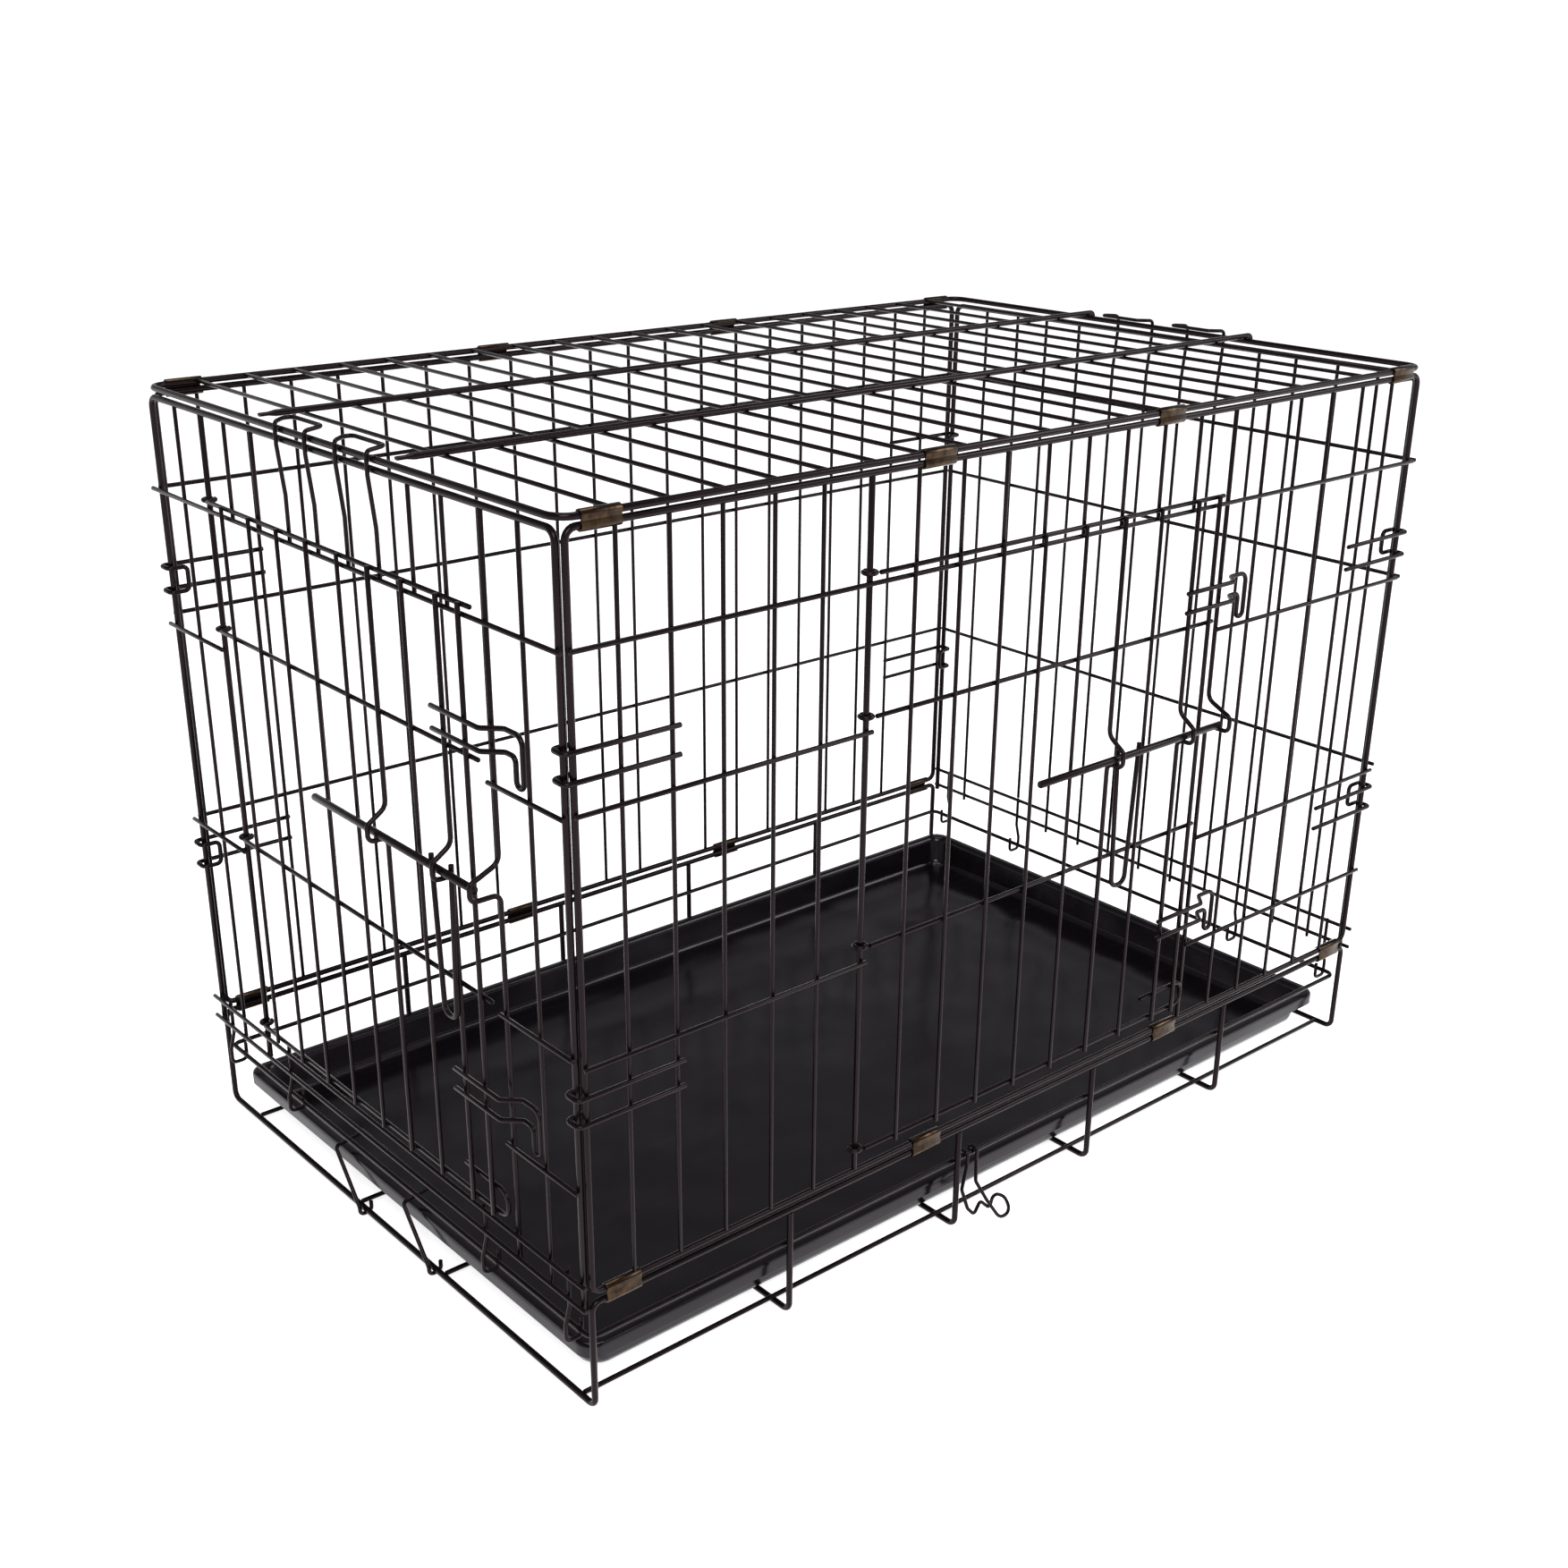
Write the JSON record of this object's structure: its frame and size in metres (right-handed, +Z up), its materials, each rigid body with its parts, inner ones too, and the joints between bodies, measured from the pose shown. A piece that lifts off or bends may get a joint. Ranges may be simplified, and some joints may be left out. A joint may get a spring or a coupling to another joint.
{
  "type": "wire dog crate",
  "caption": "Folding black wire dog crate with a side door and an end door on slide bolts, a pull-out plastic tray and a wire floor grid.",
  "frame": {"origin": "centre of the crate's footprint at floor level", "axes": "+X along the crate's length away from the end door, +Y from the side door to the back, +Z up"},
  "size_m": [0.9333, 0.5995, 0.6588],
  "materials": {
    "wire_black": "black electrocoat over steel wire, half gloss",
    "clip_steel": "olive bronze lacquer on crimped sheet steel",
    "tray_plastic": "black moulded plastic, satin"
  },
  "bodies": {
    "crate": {"back_corner_fingers": "wire_black", "back_panel_cross_wires": "wire_black", "back_panel_frame": "wire_black", "back_panel_uprights": "wire_black", "base_cross_wires": "wire_black", "base_floor_wires": "wire_black", "base_frame_wire": "wire_black", "base_pivot_rail": "wire_black", "bottom_back_clips": "clip_steel", "bottom_front_clips": "clip_steel", "front_bolt_keeper": "wire_black", "front_corner_fingers": "wire_black", "front_panel_cross_wires": "wire_black", "front_panel_frame": "wire_black", "front_panel_uprights": "wire_black", "left_bolt_keeper": "wire_black", "left_bottom_hooks": "wire_black", "left_panel_cross_wires": "wire_black", "left_panel_frame": "wire_black", "left_panel_uprights": "wire_black", "left_top_hooks": "wire_black", "right_bottom_hooks": "wire_black", "right_panel_cross_wires": "wire_black", "right_panel_frame": "wire_black", "right_panel_uprights": "wire_black", "right_top_hooks": "wire_black", "top_back_clips": "clip_steel", "top_cross_wires": "wire_black", "top_frame_wire": "wire_black", "top_front_clips": "clip_steel", "top_stiffeners": "wire_black"},
    "front_door_eyes": {"front_door_hinge_eyes": "wire_black"},
    "front_door": {"front_door_cross_wires": "wire_black", "front_door_uprights": "wire_black", "front_door_bolt_eyes": "wire_black", "front_door_tongues": "wire_black"},
    "front_bolt": {"front_bolt_rod": "wire_black"},
    "front_handle": {"front_bolt_handle": "wire_black"},
    "left_door_eyes": {"left_door_hinge_eyes": "wire_black"},
    "left_door": {"left_door_cross_wires": "wire_black", "left_door_uprights": "wire_black", "left_door_bolt_eyes": "wire_black", "left_door_tongues": "wire_black"},
    "left_bolt": {"left_bolt_rod": "wire_black"},
    "left_handle": {"left_bolt_handle": "wire_black"},
    "tray": {"tray": "tray_plastic"},
    "tray_stop": {"tray_stop": "wire_black"},
    "fold_hook": {"fold_hook": "wire_black"}
  },
  "joints": [
    {"name": "front_door_lift", "type": "slide", "parent": "crate", "child": "front_door_eyes", "axis": [0, 0, 1], "range_m": [0, 0.022]},
    {"name": "front_door_swing", "type": "hinge", "parent": "front_door_eyes", "child": "front_door", "pos_m": [-0.199, -0.2837, 0.35], "axis": [0, 0, -1], "range_deg": [0, 150]},
    {"name": "front_bolt_slide", "type": "slide", "parent": "front_door", "child": "front_bolt", "axis": [1, 0, 0], "range_m": [-0.002, 0.03]},
    {"name": "front_handle_turn", "type": "hinge", "parent": "front_bolt", "child": "front_handle", "pos_m": [0.077, -0.3015, 0.387], "axis": [-1, 0, 0], "range_deg": [0, 150]},
    {"name": "left_door_lift", "type": "slide", "parent": "crate", "child": "left_door_eyes", "axis": [0, 0, 1], "range_m": [0, 0.022]},
    {"name": "left_door_swing", "type": "hinge", "parent": "left_door_eyes", "child": "left_door", "pos_m": [-0.4502, 0.192, 0.35], "axis": [0, 0, -1], "range_deg": [0, 150]},
    {"name": "left_bolt_slide", "type": "slide", "parent": "left_door", "child": "left_bolt", "axis": [0, -1, 0], "range_m": [0, 0.014]},
    {"name": "left_handle_turn", "type": "hinge", "parent": "left_bolt", "child": "left_handle", "pos_m": [-0.468, -0.145, 0.387], "axis": [0, 1, 0], "range_deg": [0, 150]},
    {"name": "tray_pull", "type": "slide", "parent": "crate", "child": "tray", "axis": [1, 0, 0], "range_m": [0, 0.8]},
    {"name": "tray_stop_turn", "type": "hinge", "parent": "crate", "child": "tray_stop", "pos_m": [-0.447, -0.009, 0.0064], "axis": [0, -1, 0], "range_deg": [0, 85]},
    {"name": "fold_hook_turn", "type": "hinge", "parent": "crate", "child": "fold_hook", "pos_m": [-0.0695, -0.27947, 0.063], "axis": [-1, 0, 0], "range_deg": [0, 100]}
  ]
}
